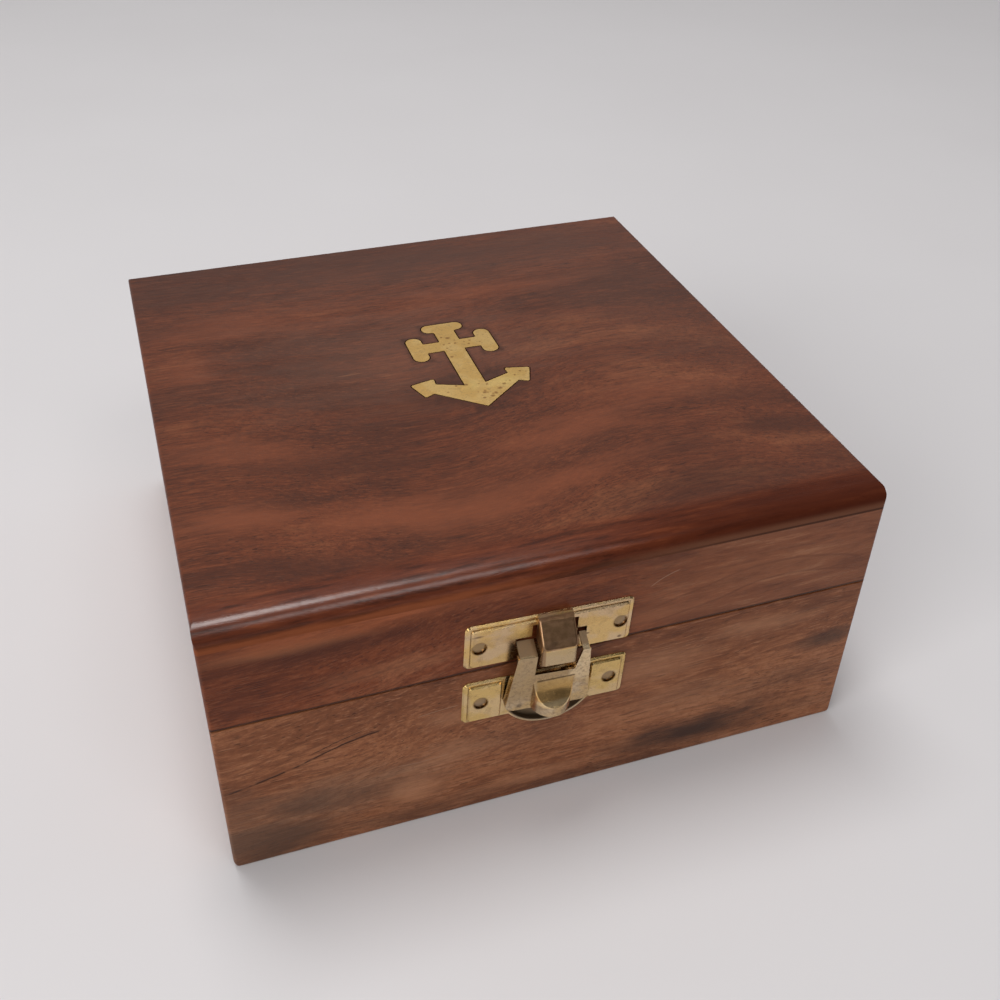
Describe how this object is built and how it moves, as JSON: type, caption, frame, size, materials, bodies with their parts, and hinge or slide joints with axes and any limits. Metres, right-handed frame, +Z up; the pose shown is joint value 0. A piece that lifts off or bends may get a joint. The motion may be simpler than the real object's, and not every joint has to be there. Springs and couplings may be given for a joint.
{
  "type": "ditty box",
  "caption": "Square rosewood keepsake box with a flat hinged lid, a brass anchor let into the lid and a stamped brass lever latch on the front.",
  "frame": {"origin": "centre of the underside, which lies on the ground", "axes": "+Z up, -Y the front with the latch, +X to the right as the front is seen"},
  "size_m": [0.15, 0.1568, 0.0709],
  "materials": {
    "rosewood": "oiled, satin",
    "bottom_board": "matt",
    "inlay_brass": "sanded, satin",
    "latch_brass": "lacquered, lightly tarnished",
    "hinge_brass": "satin",
    "nail_brass": "tarnished"
  },
  "bodies": {
    "base": {"base_front": "rosewood", "base_back": "rosewood", "base_left": "rosewood", "base_right": "rosewood", "base_bottom": "bottom_board", "base_hinge_leaf_left": "hinge_brass", "base_hinge_leaf_right": "hinge_brass", "hinge_pin_left": "hinge_brass", "hinge_pin_right": "hinge_brass", "base_hinge_screws": "hinge_brass", "latch_base_plate": "latch_brass", "latch_base_nails": "nail_brass", "latch_pivot_pin": "nail_brass"},
    "lid": {"lid_top": "rosewood", "lid_front": "rosewood", "lid_back": "rosewood", "lid_left": "rosewood", "lid_right": "rosewood", "anchor_inlay": "inlay_brass", "lid_hinge_leaf_left": "hinge_brass", "lid_hinge_leaf_right": "hinge_brass", "lid_hinge_screws": "hinge_brass", "catch_plate": "latch_brass", "catch_plate_nails": "nail_brass"},
    "lever": {"latch_lever": "latch_brass"}
  },
  "joints": [
    {"name": "lid_hinge", "type": "hinge", "parent": "base", "child": "lid", "pos_m": [0, 0.072, 0.0444], "axis": [-1, 0, 0], "range_deg": [0, 105]},
    {"name": "latch_pivot", "type": "hinge", "parent": "base", "child": "lever", "pos_m": [-0.00425, -0.0768, 0.03395], "axis": [0.9981, -0.0436, -0.0436], "range_deg": [0, 33]}
  ]
}
